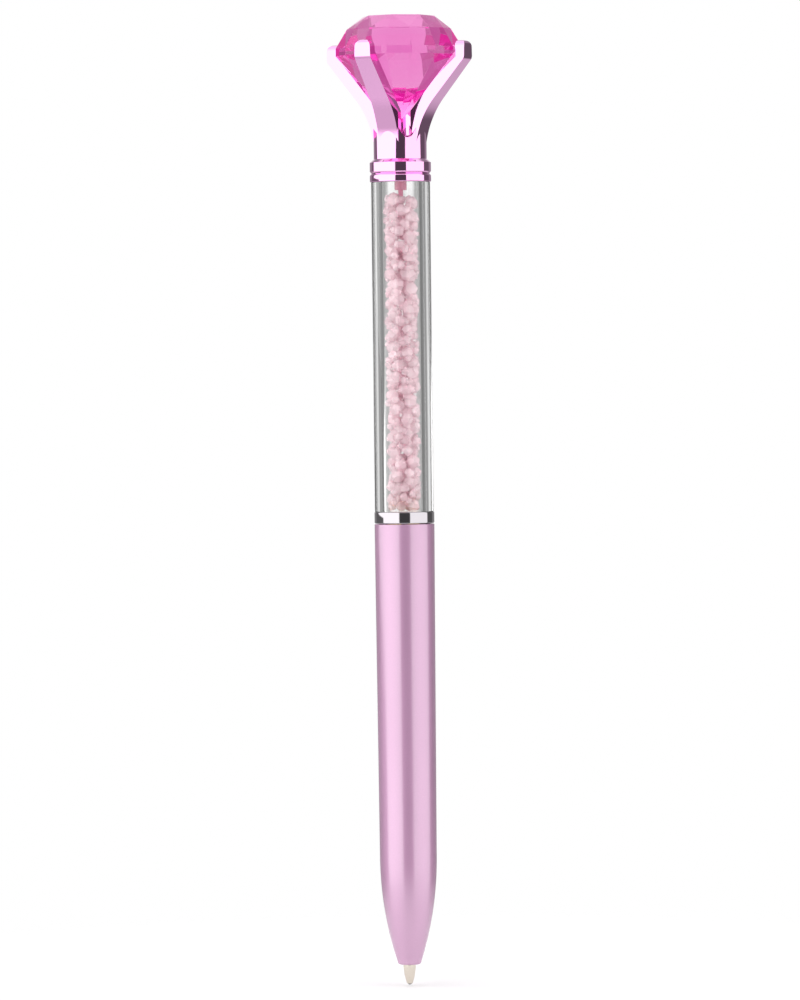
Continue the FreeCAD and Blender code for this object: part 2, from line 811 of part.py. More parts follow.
def crystal_shape(sides, table, half_height):
    """A cut chip that fits in a sphere of radius 1: a wide middle and two smaller flat ends."""
    def ring(radius, height):
        angles = [2 * math.pi * index / sides for index in range(sides + 1)]
        return [Vector(radius * math.cos(a), radius * math.sin(a), height) for a in angles]

    low, middle, high = ring(table, -half_height), ring(1, 0), ring(table, half_height)
    faces = [facet(low[:sides]), facet(high[:sides])]
    for under, over in ((low, middle), (middle, high)):
        faces += [facet((under[i], under[i + 1], over[i + 1], over[i])) for i in range(sides)]
    return closed_solid(faces)


def settled_spheres(dice, radius, floor, ceiling):
    """Drops spheres into the bore until they reach the ceiling. Each lands on those below it, at
    the lowest of many random places. Gives (centre, size) pairs that never overlap."""
    largest, smallest = value("crystal_largest"), value("crystal_smallest")
    spheres = []
    tries_each = 150
    misses = 0
    while misses < 12:
        size = dice.uniform(smallest, largest)
        best = None
        for _ in range(tries_each):
            reach = (radius - size) * math.sqrt(dice.random())
            angle = dice.uniform(0, 2 * math.pi)
            x, y = reach * math.cos(angle), reach * math.sin(angle)
            z = floor + size
            for centre, other in spheres[-24:]:
                apart = (size + other) ** 2 - (centre.x - x) ** 2 - (centre.y - y) ** 2
                if apart > 0:
                    z = max(z, centre.z + math.sqrt(apart))
            if best is None or z < best.z:
                best = Vector(x, y, z)
        if best.z + size > ceiling:
            misses += 1
            continue
        spheres.append((best, size))
    return spheres


def crystals():
    """Loose chips that fill the bore from the connector's boss up to the stopper's pin."""
    dice = random.Random(7)
    kinds = [crystal_shape(6, 0.72, 0.68), crystal_shape(5, 0.68, 0.72), crystal_shape(7, 0.78, 0.6)]
    clearance = value("push_fit")
    spheres = settled_spheres(
        dice, value("chamber_radius") - clearance, value("boss_top") + clearance,
        value("stopper_foot - nipple_length - nipple_pin_length + crystal_headroom"))
    pin_foot = value("stopper_foot - nipple_length - nipple_pin_length")
    pin = value("nipple_pin_radius") + clearance
    chips = []
    for centre, size in spheres:
        if centre.z + size > pin_foot and math.hypot(centre.x, centre.y) < size + pin:
            continue
        chip = dice.choice(kinds).copy()
        chip.scale(size - clearance)
        axis = Vector(dice.gauss(0, 1), dice.gauss(0, 1), dice.gauss(0, 1))
        chip.rotate(Vector(), axis, dice.uniform(0, 360))
        chip.translate(centre)
        chips.append(chip)
    heap = doc.addObject("Part::Feature", "crystal_heap")
    heap.Label = "crystals"
    heap.Shape = Part.makeCompound(chips)
    return len(chips)


PIECES = [
    lower_barrel, nose_bush, barrel_bush, guide_sleeve, jacket_tube, snap_ring, cam_sleeve,
    friction_ring, refill_slider, slider_pin, refill_tube, point_cone, writing_ball, gel_ink,
    ink_follower, vent_plug, connector, centre_ring, clear_tube, chamber_stopper, trim_ring,
    crown, gem, crystals,
]


def check_and_export():
    """Stops at the first failed object or bad shape, then writes one file per piece."""
    for item in doc.Objects:
        if "Invalid" in item.State or "Error" in item.State:
            raise RuntimeError("%s failed: %s" % (item.Name, item.State))
    names = [piece.__name__ for piece in PIECES]
    shapes = {item.Label: item.Shape for item in doc.Objects if item.Label in names}
    for name in names:
        shape = shapes[name]
        if shape.isNull() or not shape.isValid() or not shape.Solids:
            raise RuntimeError("%s has no valid solid" % name)
    os.makedirs("parts", exist_ok=True)
    for name in names:
        shapes[name].exportStep("parts/%s.step" % name)
        print("%-16s %3d solids %10.3f mm3" % (name, len(shapes[name].Solids), shapes[name].Volume))


for piece in PIECES:
    piece()
doc.recompute()
check_and_export()
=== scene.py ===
"""Looks of the twist pen: turned metal, clear acrylic filled with glass chips, a plated crown, a gem.

The frame is in metres with +Z along the pen. Sizes below are in millimetres and go through MM.
"""

import json
import math
import random

import bmesh
import bpy
from mathutils import Euler, Matrix, Vector


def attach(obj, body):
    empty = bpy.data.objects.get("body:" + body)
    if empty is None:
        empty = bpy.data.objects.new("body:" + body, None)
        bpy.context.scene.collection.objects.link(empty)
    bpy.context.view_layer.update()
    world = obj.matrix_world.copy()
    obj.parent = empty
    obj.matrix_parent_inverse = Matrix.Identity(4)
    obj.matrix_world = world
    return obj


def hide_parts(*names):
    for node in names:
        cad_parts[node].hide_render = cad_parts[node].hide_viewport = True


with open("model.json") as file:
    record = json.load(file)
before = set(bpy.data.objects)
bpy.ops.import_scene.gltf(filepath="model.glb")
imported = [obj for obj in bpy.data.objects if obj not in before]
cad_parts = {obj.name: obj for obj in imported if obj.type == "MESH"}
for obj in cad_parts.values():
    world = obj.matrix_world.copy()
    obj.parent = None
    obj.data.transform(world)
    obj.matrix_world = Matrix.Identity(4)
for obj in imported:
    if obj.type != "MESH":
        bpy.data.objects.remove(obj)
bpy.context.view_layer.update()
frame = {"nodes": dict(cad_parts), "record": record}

MM = 0.001

# Heights along the pen and radii of what shows, in millimetres.
NOSE_FACE = 3.0
NOSE_RADIUS = 1.76
NOSE_ROUND = 0.42
NOSE_HOLE = 1.0
OGIVE_TOP = 18.5
OGIVE_BEND = 50.8
WAIST_RADIUS = 4.18
BARREL_TOP = 67.7
BARREL_RADIUS = 4.4
BARREL_BORE = 3.75
RING_BASE = 67.8
RING_TOP = 69.5
TUBE_TOP = 117.75
TUBE_RADIUS = 4.33
CHAMBER_RADIUS = 2.75
SPIGOT_TOP = 120.25
CROWN_BASE = 119.0
BAND_RADIUS = 4.5
BAND_TOP = 121.1
NECK_RADIUS = 3.89
CUP_RADIUS = 2.6
CUP_BOTTOM = 124.55
CUP_TOP = 126.95
NOTCH_BOTTOM = 124.15
NOTCH_ROUND = 0.9
NOTCH_ANGLE = 29.7
FLAT_RADIUS = 3.39
FLARE_START = 121.55
FLARE_BEND = 12.8
FLARE_ANGLE = 40.7
CLAW_THICKNESS = 1.75
CLAW_WIDTH = 3.2
CLAW_TIP_WIDTH = 2.4
CLAW_CORNER = 1.0
CLAW_TIP_RADIUS = 11.35
CLAW_TIP_THICKNESS = 1.5
CLAW_TIP_BEND = 1.0
CLAW_TIP_HEIGHT = 2.2
CLAW_TIP_ROUND = 0.75
CLAW_TURN = -28.0

NOSE_WALL = 1.6
BARREL_WALL = 0.43
SOFT_EDGE = 0.1
RING_BORE = 3.92
RING_EDGE = 0.15
TUBE_FOOT_BORE = 3.6
TUBE_FOOT_DEPTH = 1.15
TUBE_SPIGOT = 3.4
CROWN_SOCKET = 3.42
GROOVE_DEPTH = 0.24
GROOVE_HEIGHT = 0.28
SHOULDER_HEIGHT = 0.5
CASTING_EDGE = 0.13
GEM_EDGE = 0.05

CHIP_SEED = 11
FILLER_CHIPS = 520
SMALLEST_CHIP = 0.5
LARGEST_CHIP = 0.85

# how finely round shapes are divided, and how near two corners must be to be one
LATHE_STEPS = 128
ARC_STEPS = 24
ROUND_STEPS = 6
SAME_POINT = 0.0005


# ---------------------------------------------------------------- colours and nodes

def colour(code):
    """An sRGB hex value as linear RGBA."""
    parts = [int(code[place:place + 2], 16) / 255 for place in (1, 3, 5)]
    linear = [part / 12.92 if part <= 0.04045 else ((part + 0.055) / 1.055) ** 2.4
              for part in parts]
    return (*linear, 1.0)


def add(tree, kind, inputs=None, **settings):
    """Adds a node with its settings. An input is a value, or another node's output to link."""
    made = tree.nodes.new(kind)
    for name, setting in settings.items():
        setattr(made, name, setting)
    for name, source in (inputs or {}).items():
        if isinstance(source, bpy.types.NodeSocket):
            tree.links.new(source, made.inputs[name])
        else:
            made.inputs[name].default_value = source
    return made


def new_material(name):
    """An empty material with its output node."""
    made = bpy.data.materials.new(name)
    made.use_nodes = True
    made.node_tree.nodes.clear()
    output = add(made.node_tree, "ShaderNodeOutputMaterial")
    return made, made.node_tree, output


def on_object(tree, stretch=(1.0, 1.0, 1.0)):
    """Object coordinates in metres, stretched along the three axes."""
    place = add(tree, "ShaderNodeTexCoord")
    mapping = add(tree, "ShaderNodeMapping",
                  {"Vector": place.outputs["Object"], "Scale": stretch})
    return mapping.outputs["Vector"]


# ---------------------------------------------------------------- materials

# strength of the painted glow: an emission on the gem that stands in for its dye's fluorescence
PAINTED_GLOW_STRENGTH = 0.18


def satin_lacquered_metal():
    """Drawn brass tube under satin pink metallic lacquer.

    Tinted lacquer full of fine aluminium flakes: a broad pink sheen from the flakes, over it
    paler reflections with soft edges, which the coat's high IOR gives, and a faint grain.
    """
    made, tree, output = new_material("satin_pink_metallic_lacquer")
    flakes = add(tree, "ShaderNodeTexNoise",
                 {"Vector": on_object(tree), "Scale": 1 / (0.16 * MM), "Detail": 2.0})
    drift = add(tree, "ShaderNodeTexNoise",
                {"Vector": on_object(tree, (1, 1, 0.3)), "Scale": 1 / (6 * MM), "Detail": 1.0})
    mixed = add(tree, "ShaderNodeMath",
                {0: flakes.outputs["Fac"], 1: drift.outputs["Fac"]}, operation="ADD")
    gloss = add(tree, "ShaderNodeMapRange",
                {"Value": mixed.outputs[0], "From Min": 0.6, "From Max": 1.4,
                 "To Min": 0.5, "To Max": 0.6})
    tint = add(tree, "ShaderNodeMix",
               {"Factor": flakes.outputs["Fac"], "A": colour("#c496b8"), "B": colour("#d0a2c4")},
               data_type="RGBA")
    bump = add(tree, "ShaderNodeBump",
               {"Height": flakes.outputs["Fac"], "Strength": 0.15, "Distance": 0.01 * MM})
    shader = add(tree, "ShaderNodeBsdfPrincipled",
                 {"Base Color": tint.outputs["Result"], "Metallic": 0.8,
                  "Roughness": gloss.outputs["Result"], "Normal": bump.outputs["Normal"],
                  "Coat Weight": 1.0, "Coat Roughness": 0.18, "Coat IOR": 2.1})
    tree.links.new(shader.outputs[0], output.inputs["Surface"])
    return made


def polished_plating(name, code, rough):
    """Electroplate over a buffed casting: a mirror with a breath of buffing haze."""
    made, tree, output = new_material(name)
    haze = add(tree, "ShaderNodeTexNoise",
               {"Vector": on_object(tree), "Scale": 1 / (2.5 * MM), "Detail": 3.0})
    gloss = add(tree, "ShaderNodeMapRange",
                {"Value": haze.outputs["Fac"], "From Min": 0.3, "From Max": 0.7,
                 "To Min": rough * 0.7, "To Max": rough * 1.4})
    bump = add(tree, "ShaderNodeBump",
               {"Height": haze.outputs["Fac"], "Strength": 0.04, "Distance": 0.05 * MM})
    shader = add(tree, "ShaderNodeBsdfPrincipled",
                 {"Base Color": colour(code), "Metallic": 1.0,
                  "Roughness": gloss.outputs["Result"], "Normal": bump.outputs["Normal"]})
    tree.links.new(shader.outputs[0], output.inputs["Surface"])
    return made


def turned_metal(name, code, rough, pitch):
    """Bar stock turned on a small lathe: fine rings of the given pitch in millimetres."""
    made, tree, output = new_material(name)
    place = add(tree, "ShaderNodeTexCoord")
    split = add(tree, "ShaderNodeSeparateXYZ", {"Vector": place.outputs["Object"]})
    along = add(tree, "ShaderNodeCombineXYZ", {"Z": split.outputs["Z"]})
    rings = add(tree, "ShaderNodeTexNoise",
                {"Vector": along.outputs[0], "Scale": 1 / (pitch * MM), "Detail": 2.0})
    gloss = add(tree, "ShaderNodeMapRange",
                {"Value": rings.outputs["Fac"], "From Min": 0.3, "From Max": 0.7,
                 "To Min": rough * 0.8, "To Max": rough * 1.3})
    bump = add(tree, "ShaderNodeBump",
               {"Height": rings.outputs["Fac"], "Strength": 0.15, "Distance": 0.01 * MM})
    shader = add(tree, "ShaderNodeBsdfPrincipled",
                 {"Base Color": colour(code), "Metallic": 1.0,
                  "Roughness": gloss.outputs["Result"], "Normal": bump.outputs["Normal"]})
    tree.links.new(shader.outputs[0], output.inputs["Surface"])
    return made


def clear_plastic(name, rough, ior, absorbed=None, density=0.0, base="#ffffff", clear=1.0,
                  painted_glow=None):
    """Clear cast or cut plastic or glass. The tint grows with the depth of material. A pink painted
    glow, a faint emission that stands in for dye fluorescence, can be added and shows brightest at
    the edges."""
    made, tree, output = new_material(name)
    shader = add(tree, "ShaderNodeBsdfPrincipled",
                 {"Base Color": colour(base), "Roughness": rough, "IOR": ior,
                  "Transmission Weight": clear})
    # lamps reach what is inside as straight light, not only as bright ripples
    path = add(tree, "ShaderNodeLightPath")
    soft = add(tree, "ShaderNodeMath",
               {0: path.outputs["Is Shadow Ray"], 1: path.outputs["Is Diffuse Ray"]},
               operation="MAXIMUM")
    straight = add(tree, "ShaderNodeMath", {0: soft.outputs[0], 1: clear}, operation="MULTIPLY")
    through = add(tree, "ShaderNodeBsdfTransparent", {"Color": colour(base)})
    both = add(tree, "ShaderNodeMixShader",
               {"Fac": straight.outputs[0], 1: shader.outputs[0], 2: through.outputs[0]})
    tree.links.new(both.outputs[0], output.inputs["Surface"])
    # painted glow: a faint emission that no lamp drives, standing in for the dye's fluorescence
    if painted_glow:
        shader.inputs["Emission Color"].default_value = colour(painted_glow)
        shader.inputs["Emission Strength"].default_value = PAINTED_GLOW_STRENGTH
    if absorbed:
        inside = add(tree, "ShaderNodeVolumeAbsorption",
                     {"Color": colour(absorbed), "Density": density})
        tree.links.new(inside.outputs[0], output.inputs["Volume"])
    return made


def moulded_plastic(name, code, rough, clear=0.0, grain=0.35):
    """Injection moulded plastic: even colour, a fine mould texture and soft highlights."""
    made, tree, output = new_material(name)
    skin = add(tree, "ShaderNodeTexNoise",
               {"Vector": on_object(tree), "Scale": 1 / (grain * MM), "Detail": 2.0})
    gloss = add(tree, "ShaderNodeMapRange",
                {"Value": skin.outputs["Fac"], "From Min": 0.3, "From Max": 0.7,
                 "To Min": rough * 0.85, "To Max": rough * 1.2})
    bump = add(tree, "ShaderNodeBump",
               {"Height": skin.outputs["Fac"], "Strength": 0.08, "Distance": 0.02 * MM})
    shader = add(tree, "ShaderNodeBsdfPrincipled",
                 {"Base Color": colour(code), "Roughness": gloss.outputs["Result"],
                  "Normal": bump.outputs["Normal"], "IOR": 1.49, "Transmission Weight": clear})
    tree.links.new(shader.outputs[0], output.inputs["Surface"])
    return made


MATERIALS = {
    "barrel_lacquer": satin_lacquered_metal(),
    # decorative chrome over nickel: a cool grey mirror
    "ring_chrome": polished_plating("bright_chrome_plate", "#c0bbc0", 0.07),
    # vapour plate under tinted clear coat: a mirror that turns what it shows pink
    "crown_plating": polished_plating("pink_vapour_plate_on_casting", "#f3b6e6", 0.05),
    # cut and polished acrylic with a pink dye: deep where thick; its fluorescence is painted glow, a
    # faint emission hot at the rim
    "gem_acrylic": clear_plastic("cut_pink_acrylic", 0.0, 1.49, "#dc40c6", 84.0, painted_glow="#ff30c0"),
    # cast tube: colourless, with dark and light lines where the wall bends the light
    "tube_acrylic": clear_plastic("clear_cast_acrylic", 0.0, 1.49),
    # tumbled glass chips: pale and milky in a heap
    "crystal_glass": clear_plastic("pale_pink_glass", 0.04, 1.5, base="#ffeef3", clear=0.65),
    # dyed polystyrene that lets a little light through
    "stopper_plastic": moulded_plastic("pink_gloss_plastic", "#f3a6c0", 0.15, 0.3),
    # turned nickel silver: warm grey with fine rings
    "point_metal": turned_metal("turned_nickel_silver", "#ded6c8", 0.16, 0.08),
    # ground tungsten carbide: dark and bright at once
    "ball_carbide": turned_metal("ground_carbide", "#8d8c8f", 0.12, 0.3),
    # free-cutting brass off the lathe
    "turned_brass": turned_metal("turned_brass", "#e0c489", 0.2, 0.06),
    # drawn spring wire
    "spring_steel": turned_metal("bright_spring_steel", "#c9cacd", 0.22, 0.1),
    # acetal, waxy and off-white, duller where it isn't rubbed
    "bush_plastic": moulded_plastic("natural_acetal_bush", "#ecebe6", 0.38),
    "slider_plastic": moulded_plastic("white_acetal", "#efefec", 0.32),
    # moulded nitrile: matt black
    "seal_rubber": moulded_plastic("black_nitrile_rubber", "#1a1a1b", 0.6),
    # extruded polypropylene: cloudy, greyed by the ink behind it
    "refill_plastic": moulded_plastic("translucent_polypropylene", "#eef2f3", 0.18, 0.55),
    # wet gel ink
    "ink": moulded_plastic("black_gel_ink", "#0b0b10", 0.12),
    # clear grease, straw coloured
    "follower_grease": moulded_plastic("clear_follower_grease", "#f3e6bd", 0.2, 0.6),
}

NODE_SLOTS = {row["node"]: row["material_slot"] for row in frame["record"]["subparts"]}


# ---------------------------------------------------------------- shapes

def finished(name, work, slot, body, nodes, sharp=35.0):
    """Makes the mesh an object of the pen that stands for the CAD nodes named."""
    bmesh.ops.remove_doubles(work, verts=work.verts, dist=SAME_POINT * MM)
    bmesh.ops.recalc_face_normals(work, faces=work.faces)
    mesh = bpy.data.meshes.new(name)
    work.to_mesh(mesh)
    work.free()
    mesh.shade_smooth()
    mesh.set_sharp_from_angle(angle=math.radians(sharp))
    piece = bpy.data.objects.new(name, mesh)
    bpy.context.collection.objects.link(piece)
    mesh.materials.append(MATERIALS[slot])
    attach(piece, body)
    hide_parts(*nodes)
    return piece


def draw_profile(work, outline, rounds=None, arcs=None):
    """Wire profile of (across, up) corners in the XZ plane. Some corners are rounded, and some
    sides are arcs: a positive bend has its centre nearer the axis, a negative one further out."""
    corners = [work.verts.new((across * MM, 0, up * MM)) for across, up in outline]
    for index, vert in enumerate(corners):
        following = corners[(index + 1) % len(corners)]
        if index in (arcs or {}):
            swing(work, vert, following, arcs[index])
        else:
            work.edges.new((vert, following))
    for index, reach in (rounds or {}).items():
        bmesh.ops.bevel(work, geom=[corners[index]], offset=reach * MM, offset_type="OFFSET",
                        segments=ROUND_STEPS, profile=0.5, affect="VERTICES", material=-1)


def swing(work, first, last, bend):
    """Joins two corners by the short arc of radius bend."""
    chord = last.co - first.co
    side = Vector((-chord.z, 0, chord.x)).normalized()
    if (side.x > 0) == (bend > 0):
        side.negate()
    reach = math.sqrt(max((bend * MM) ** 2 - chord.length ** 2 / 4, 0))
    centre = (first.co + last.co) / 2 + side * reach
    start, end = first.co - centre, last.co - centre
    swung = bmesh.ops.spin(work, geom=[first], cent=centre, axis=start.cross(end).normalized(),
                           angle=start.angle(end), steps=ARC_STEPS, dvec=(0, 0, 0),
                           use_duplicate=False)
    arrived = next(item for item in swung["geom_last"] if isinstance(item, bmesh.types.BMVert))
    bmesh.ops.pointmerge(work, verts=[last, arrived], merge_co=last.co)


def lathe(outline, rounds=None, arcs=None):
    """The profile spun once round the pen's axis."""
    work = bmesh.new()
    draw_profile(work, outline, rounds, arcs)
    bmesh.ops.spin(work, geom=work.verts[:] + work.edges[:], cent=(0, 0, 0), axis=(0, 0, 1),
                   angle=2 * math.pi, steps=LATHE_STEPS, use_merge=True, dvec=(0, 0, 0),
                   use_duplicate=False)
    bmesh.ops.remove_doubles(work, verts=work.verts, dist=SAME_POINT * MM)
    loose = [edge for edge in work.edges if not edge.link_faces]
    bmesh.ops.delete(work, geom=loose, context="EDGES")
    bmesh.ops.recalc_face_normals(work, faces=work.faces)
    return work


def plate(outline, depth, rounds=None, arcs=None):
    """A plate cut to the profile, depth thick, half of it on each side of the XZ plane."""
    work = bmesh.new()
    draw_profile(work, outline, rounds, arcs)
    bmesh.ops.contextual_create(work, geom=work.edges[:])
    bmesh.ops.translate(work, verts=work.verts, vec=(0, -depth / 2 * MM, 0))
    grown = bmesh.ops.extrude_face_region(work, geom=work.faces[:])
    moved = [item for item in grown["geom"] if isinstance(item, bmesh.types.BMVert)]
    bmesh.ops.translate(work, verts=moved, vec=(0, depth * MM, 0))
    bmesh.ops.recalc_face_normals(work, faces=work.faces)
    return work


def rough_object(work):
    """A passing object that a boolean can work on."""
    mesh = bpy.data.meshes.new("rough")
    work.to_mesh(mesh)
    work.free()
    rough = bpy.data.objects.new("rough", mesh)
    bpy.context.collection.objects.link(rough)
    return rough


def combine(work, other, operation):
    """The solid left when two are joined, crossed, or the second is cut from the first."""
    base, tool = rough_object(work), rough_object(other)
    change = base.modifiers.new("change", "BOOLEAN")
    change.object = tool
    change.operation = operation
    change.solver = "MANIFOLD"
    ready = base.evaluated_get(bpy.context.evaluated_depsgraph_get())
    result = bmesh.new()
    result.from_mesh(ready.to_mesh())
    bmesh.ops.recalc_face_normals(result, faces=result.faces)
    bpy.data.objects.remove(base)
    bpy.data.objects.remove(tool)
    return result


def turn_about_axis(work, degrees, verts=None):
    bmesh.ops.rotate(work, verts=verts or work.verts, cent=(0, 0, 0),
                     matrix=Matrix.Rotation(math.radians(degrees), 3, "Z"))


def turned(name, slot, body, nodes, outline, rounds=None, arcs=None):
    """A piece made on the lathe."""
    return finished(name, lathe(outline, rounds, arcs), slot, body, nodes)


def merged_copy(node):
    """A mesh of a CAD node with its loose triangles joined at their corners."""
    work = bmesh.new()
    work.from_mesh(frame["nodes"][node].data)
    bmesh.ops.remove_doubles(work, verts=work.verts, dist=0.001 * MM)
    return work


def whole_faces(work):
    """Joins triangles that lie in one plane."""
    bmesh.ops.dissolve_limit(work, angle_limit=math.radians(0.5), verts=work.verts,
                             edges=work.edges)


# ---------------------------------------------------------------- lower half

def make_barrel():
    """Drawn shell with a long ogive down to the nose."""
    return turned("barrel_shell", "barrel_lacquer", "barrel", ["lower_barrel"], [
        (NOSE_HOLE, NOSE_FACE),
        (NOSE_RADIUS - NOSE_ROUND, NOSE_FACE),
        (NOSE_RADIUS, NOSE_FACE + NOSE_ROUND),
        (WAIST_RADIUS, OGIVE_TOP),
        (BARREL_RADIUS, BARREL_TOP),
        (BARREL_BORE, BARREL_TOP),
        (BARREL_BORE, OGIVE_TOP),
        (NOSE_RADIUS, NOSE_FACE + NOSE_WALL),
        (NOSE_HOLE, NOSE_FACE + NOSE_WALL),
    ], rounds={4: SOFT_EDGE, 5: SOFT_EDGE},
        arcs={1: NOSE_ROUND, 2: OGIVE_BEND, 6: OGIVE_BEND - BARREL_WALL})


def make_ring():
    """Plain ring between the two halves."""
    return turned("centre_band", "ring_chrome", "upper", ["centre_ring"], [
        (RING_BORE, RING_BASE),
        (BARREL_RADIUS, RING_BASE),
        (BARREL_RADIUS, RING_TOP),
        (RING_BORE, RING_TOP),
    ], rounds={1: RING_EDGE, 2: RING_EDGE})


def make_tube():
    """Thick clear tube with a seat at its foot and a spigot for the crown."""
    return turned("clear_barrel", "tube_acrylic", "upper", ["clear_tube"], [
        (CHAMBER_RADIUS, RING_TOP - TUBE_FOOT_DEPTH),
        (TUBE_FOOT_BORE, RING_TOP - TUBE_FOOT_DEPTH),
        (TUBE_FOOT_BORE, RING_TOP),
        (TUBE_RADIUS, RING_TOP),
        (TUBE_RADIUS, TUBE_TOP),
        (TUBE_SPIGOT, TUBE_TOP),
        (TUBE_SPIGOT, SPIGOT_TOP),
        (CHAMBER_RADIUS, SPIGOT_TOP),
    ], rounds={3: SOFT_EDGE, 4: SOFT_EDGE})


def make_trim():
    """Lower of the two bands, with half of the groove between them."""
    return turned("trim_band", "crown_plating", "upper", ["trim_ring"], [
        (CROWN_SOCKET, TUBE_TOP),
        (BAND_RADIUS, TUBE_TOP),
        (BAND_RADIUS, CROWN_BASE - GROOVE_HEIGHT),
        (BAND_RADIUS - GROOVE_DEPTH, CROWN_BASE),
        (CROWN_SOCKET, CROWN_BASE),
    ], rounds={1: RING_EDGE, 2: SOFT_EDGE})


def claw():
    """One claw: its side view crossed with its front view."""
    slope = math.radians(FLARE_ANGLE)
    flare_end = FLARE_START + FLARE_BEND * math.sin(slope)
    flare_end_radius = FLAT_RADIUS + FLARE_BEND * (1 - math.cos(slope))
    depth = CLAW_THICKNESS / math.cos(slope)
    inside = CLAW_TIP_RADIUS - CLAW_TIP_THICKNESS
    bend_radius = CLAW_TIP_RADIUS - CLAW_TIP_BEND * (1 - math.cos(slope))

    def outer_height(radius):
        return flare_end + (radius - flare_end_radius) / math.tan(slope)

    bend_end = outer_height(bend_radius) + CLAW_TIP_BEND * math.sin(slope)
    top = bend_end + CLAW_TIP_HEIGHT
    side = plate([
        (CUP_RADIUS, FLARE_START),
        (FLAT_RADIUS, FLARE_START),
        (flare_end_radius, flare_end),
        (bend_radius, outer_height(bend_radius)),
        (CLAW_TIP_RADIUS, bend_end),
        (CLAW_TIP_RADIUS, top - CLAW_TIP_ROUND),
        (CLAW_TIP_RADIUS - CLAW_TIP_ROUND, top),
        (inside, top),
        (inside, outer_height(inside + depth)),
        (CUP_RADIUS, outer_height(CUP_RADIUS + depth)),
    ], 2 * CLAW_WIDTH, arcs={1: -FLARE_BEND, 3: CLAW_TIP_BEND, 5: CLAW_TIP_ROUND})
    wide, narrow = CLAW_WIDTH / 2, CLAW_TIP_WIDTH / 2
    front = plate([
        (-wide, FLARE_START - 1),
        (wide, FLARE_START - 1),
        (wide, CUP_TOP),
        (narrow, top),
        (-narrow, top),
        (-wide, CUP_TOP),
    ], 3 * CLAW_TIP_RADIUS, rounds={3: CLAW_CORNER, 4: CLAW_CORNER})
    turn_about_axis(front, 90)
    return combine(side, front, "INTERSECT")


def notch_cutter():
    """Round-bottomed notch that is cut through both walls of the cup."""
    lean = math.radians(NOTCH_ANGLE)
    side = NOTCH_ROUND * math.cos(lean)
    foot = NOTCH_BOTTOM + NOTCH_ROUND * (1 - math.sin(lean))
    rise = CUP_TOP + 1 - foot
    spread = side + rise * math.tan(lean)
    return plate([
        (-side, foot),
        (0, NOTCH_BOTTOM),
        (side, foot),
        (spread, foot + rise),
        (-spread, foot + rise),
    ], 4 * NECK_RADIUS, arcs={0: -NOTCH_ROUND, 1: NOTCH_ROUND})


def make_crown():
    """Casting with a socket, a band, a round neck, an open cup and four flat claws."""
    shape = lathe([
        (CROWN_SOCKET, CROWN_BASE),
        (BAND_RADIUS - GROOVE_DEPTH, CROWN_BASE),
        (BAND_RADIUS, CROWN_BASE + GROOVE_HEIGHT),
        (BAND_RADIUS, BAND_TOP - SHOULDER_HEIGHT),
        (NECK_RADIUS, BAND_TOP),
        (NECK_RADIUS, CUP_TOP),
        (CUP_RADIUS, CUP_TOP),
        (CUP_RADIUS, CUP_BOTTOM),
        (0, CUP_BOTTOM),
        (0, SPIGOT_TOP),
        (CROWN_SOCKET, SPIGOT_TOP),
    ])
    for bearing in (45, 135):
        cutter = notch_cutter()
        turn_about_axis(cutter, bearing)
        shape = combine(shape, cutter, "DIFFERENCE")
    for bearing in (0, 90, 180, 270):
        arm = claw()
        turn_about_axis(arm, bearing)
        shape = combine(shape, arm, "UNION")
    turn_about_axis(shape, CLAW_TURN)
    bmesh.ops.dissolve_degenerate(shape, dist=0.002 * MM, edges=shape.edges)
    piece = finished("claw_crown", shape, "crown_plating", "upper", ["crown"], sharp=7.0)
    edges = piece.modifiers.new("edge_round", "BEVEL")
    edges.width = CASTING_EDGE * MM
    edges.segments = 3
    edges.limit_method = "ANGLE"
    edges.angle_limit = math.radians(12)
    edges.harden_normals = True
    return piece


def make_gem():
    """The cut stone, its edges barely broken by polishing."""
    work = merged_copy("gem")
    whole_faces(work)
    piece = finished("cut_gem", work, "gem_acrylic", "upper", ["gem"], sharp=1.0)
    edges = piece.modifiers.new("edge_round", "BEVEL")
    edges.width = GEM_EDGE * MM
    edges.segments = 2
    edges.limit_method = "ANGLE"
    edges.angle_limit = math.radians(4)
    return piece


def make_crystals():
    """The chips of the chamber, and smaller ones between them that crowd the wall."""
    work = merged_copy("crystals")
    whole_faces(work)
    dice = random.Random(CHIP_SEED)
    heights = [vert.co.z for vert in work.verts]
    floor, ceiling = min(heights), max(heights)
    for _ in range(FILLER_CHIPS):
        size = dice.uniform(SMALLEST_CHIP, LARGEST_CHIP) * MM
        reach = (CHAMBER_RADIUS * MM - size + 0.04 * MM) * dice.random() ** 0.3
        bearing = dice.uniform(0, 2 * math.pi)
        place = Vector((reach * math.cos(bearing), reach * math.sin(bearing),
                        dice.uniform(floor + size, ceiling - size)))
        tumble = Euler([dice.uniform(0, 2 * math.pi) for _ in range(3)]).to_matrix().to_4x4()
        squash = Matrix.Diagonal((1.0, 1.0, dice.uniform(0.6, 0.85), 1.0))
        bmesh.ops.create_icosphere(work, subdivisions=1, radius=size,
                                   matrix=Matrix.Translation(place) @ tumble @ squash)
    return finished("glass_chips", work, "crystal_glass", "upper", ["crystals"], sharp=1.0)


for node, thing in frame["nodes"].items():
    thing.data.materials.clear()
    thing.data.materials.append(MATERIALS[NODE_SLOTS[node]])

make_barrel()
make_ring()
make_tube()
make_trim()
make_crown()
make_gem()
make_crystals()


# ---------------------------------------------------------------- studio

FLOOR_RADIUS = 0.22
FLOOR_FADE = (0.02, 0.12)
ROOF_LIGHT = 1.6
GROUND_LIGHT = 0.9
LEFT_BOX_EDGE = -89
